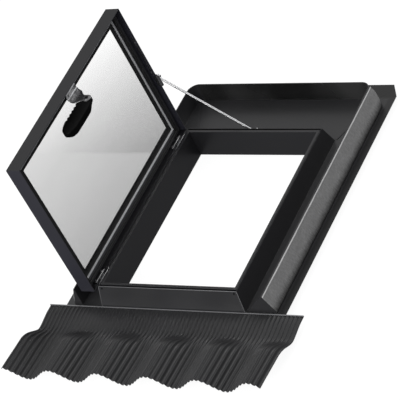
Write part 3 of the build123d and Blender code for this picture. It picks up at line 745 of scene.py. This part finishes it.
def buildPlate():
    spec = plateSpec
    soft, softEnd = spec["soft"], spec["softEnd"]
    points = plateRing(spec["inside"], soft)
    points += plateRing(spec["inside"] + soft, 0)
    points += plateRing(spec["outside"] - soft, 0)
    points += plateRing(spec["outside"], soft)
    faces = tubeFaces(4, len(spec["outline"]))

    eyeY, eyeV = spec["eye"]
    bosses = [discPoints(spec["ringRadius"], lambda a, b, high: lidPoint(
        spec["outside"] + spec["ringTall"] * high, eyeY + a, eyeV + b))]
    for screwU, screwY in spec["screws"]:
        bosses.append(discPoints(spec["screwRadius"], lambda a, b, high: lidPoint(
            screwU + a, screwY + b, -spec["sheet"] - spec["screwTall"] * high)))
    for boss in bosses:
        faces += tubeFaces(3, len(boss) // 3, len(points))
        points += boss

    profile = flangeProfile()
    faces += tubeFaces(4, len(profile), len(points))
    for y in (spec["from"], spec["from"] + softEnd, spec["to"] - softEnd, spec["to"]):
        points += [lidPoint(u, y, v) for u, v in profile]
    plate = makePiece("handlePlate", points, faces, "lid", "handle_steel", smooth=False)
    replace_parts(plate, "handle_bracket")
    # near-white strips as painted highlights along the hem and the bend
    for name, reach in spec["strips"].items():
        makeHighlightStrip(name, *reach)


def makeHighlightStrip(name, u0, u1, y0, y1, v0, v1):
    # a narrow strip with a rounded back in near-white metal, a painted highlight along its ridge
    points = []
    for y, size in ((y0, 0.7), (y0 + 0.0008, 1.0), (y1 - 0.0008, 1.0), (y1, 0.7)):
        for k in range(9):
            a = math.pi * k / 8
            u = (u0 + u1) / 2 - (u1 - u0) / 2 * size * math.cos(a)
            points.append(lidPoint(u, y, v0 + (v1 - v0) * size * math.sin(a)))
    makePiece(name, points, tubeFaces(4, 9), "lid", "trim_metal")


buildGrip()
buildPlate()
print("handle built")


# Painted highlights: pale lines along the folds of the front collar, and bright lines along the
# edges of the hinge leaves

# painted highlights along the collar's folds
foldHighlightSpec = {
    "slot": "hem_metal",
    "folds": {
        "foldFrontLeft": ((-0.2221, -0.3063, 0.0895), (-0.2302, -0.3243, 0.0255), 0.0007),
        "foldFrontRight": ((0.2221, -0.3063, 0.0895), (0.2302, -0.3243, 0.0255), 0.0007),
        "foldTopFront": ((-0.2215, -0.3061, 0.0898), (0.2215, -0.3061, 0.0898), 0.0007),
        "foldFootFront": ((-0.2295, -0.3246, 0.0256), (0.2295, -0.3246, 0.0256), 0.0006),
    },
}
# painted highlights along the edges of the hinge leaves
leafHighlightSpec = {
    "slot": "stay_steel",
    "leaves": {
        "Frame": ("frame", -0.2237, 0.0884, 0.0009),
        "Lid": ("lid", -0.2440, 0.0808, 0.0011),
    },
    "hinges": {"Lower": (-0.286, -0.234), "Upper": (0.234, 0.286)},
}


def makeLine(name, start, end, radius, body, slot):
    # a thin round line with softened ends
    start, end = Vector(start), Vector(end)
    length = (end - start).length
    run = (end - start).normalized()
    side = run.orthogonal().normalized()
    up = run.cross(side)
    points = []
    for along, size in ((0.0, 0.5), (radius, 1.0), (length - radius, 1.0), (length, 0.5)):
        for k in range(10):
            a = 2 * math.pi * k / 10
            out = side * math.cos(a) + up * math.sin(a)
            points.append(start + run * along + out * radius * size)
    makePiece(name, points, tubeFaces(4, 10), body, slot)


for name, (start, end, radius) in foldHighlightSpec["folds"].items():
    makeLine(name, start, end, radius, "frame", foldHighlightSpec["slot"])
for leaf, (body, x, z, radius) in leafHighlightSpec["leaves"].items():
    for hinge, (y0, y1) in leafHighlightSpec["hinges"].items():
        makeLine("leafEdge" + leaf + hinge, (x, y0, z), (x, y1, z), radius, body, leafHighlightSpec["slot"])
print("fold lines built")


# Studio

studio = {
    "floorSize": 14.0, "floorTone": 0.15, "floorGlow": 0.92,
    "skyLight": 0.85, "horizon": (0.25, 0.25, 0.26), "zenith": (1, 1, 1), "zenithFrom": 0.8,
    "camera": (3.85552, -4.07098, 4.35641), "lens": 232.14, "sensor": 36.0,
    "right": (0.834496654, 0.393607917, -0.385601014),
    "down": (0.014130833, -0.714861031, -0.699123756),
    "forward": (-0.550831783, 0.577967572, -0.602111146),
    "lights": {
        "keyPanel": {
            "at": (-0.4, -3.4, 1.7), "aim": (0, 0, 0.15), "size": (2.6, 1.6), "power": 95},
        "backPanel": {
            "at": (1.6, 3.0, 2.4), "aim": (0, 0.2, 0.1), "size": (2.4, 1.4), "power": 30},
    },
}


def buildFloor():
    half = studio["floorSize"] / 2
    corners = [(-half, -half, 0), (half, -half, 0), (half, half, 0), (-half, half, 0)]
    mesh = bpy.data.meshes.new("studioFloor")
    mesh.from_pydata(corners, [], [(0, 1, 2, 3)])
    floor = bpy.data.objects.new("studioFloor", mesh)
    bpy.context.scene.collection.objects.link(floor)
    tone = studio["floorTone"]
    mesh.materials.append(startFinish("studioPaper").close({
        "Base Color": (tone, tone, tone, 1), "Roughness": 0.9, "Specular IOR Level": 0.0,
        "Emission Color": (1, 1, 1, 1), "Emission Strength": studio["floorGlow"],
    }))
    floor.visible_diffuse = False  # its glow doesn't light the part from below
    floor.visible_glossy = False


def buildLights():
    for name, spec in studio["lights"].items():
        data = bpy.data.lights.new(name, "AREA")
        data.shape = "RECTANGLE"
        data.size, data.size_y = spec["size"]
        data.energy = spec["power"]
        lamp = bpy.data.objects.new(name, data)
        lamp.location = spec["at"]
        aim = Vector(spec["aim"]) - Vector(spec["at"])
        lamp.rotation_euler = aim.to_track_quat("-Z", "Y").to_euler()
        bpy.context.scene.collection.objects.link(lamp)


def buildSky():
    world = bpy.data.worlds.new("studioSky")
    bpy.context.scene.world = world
    sky = Finish(world, "Generated")
    stops = [(0.0, studio["horizon"]), (studio["zenithFrom"], studio["zenith"])]
    ramp = sky.add("ShaderNodeValToRGB", {"stops": stops}, {0: sky.axes().out("Z")})
    glow = sky.add("ShaderNodeBackground", {}, {
        "Color": ramp.out(0), "Strength": studio["skyLight"],
    })
    sky.add("ShaderNodeOutputWorld", {}, {"Surface": glow.out(0)})
    bpy.context.scene.view_settings.view_transform = "Standard"


def buildCamera():
    data = bpy.data.cameras.new("photoCamera")
    data.lens = studio["lens"]
    data.sensor_width = studio["sensor"]
    data.clip_end = 50
    camera = bpy.data.objects.new("photoCamera", data)
    axes = (Vector(studio["right"]), -Vector(studio["down"]), -Vector(studio["forward"]))
    turn = Matrix(axes).transposed().to_4x4()
    camera.matrix_world = Matrix.Translation(studio["camera"]) @ turn
    bpy.context.scene.collection.objects.link(camera)
    bpy.context.scene.camera = camera


buildFloor()
buildLights()
buildSky()
buildCamera()
print("studio ready")
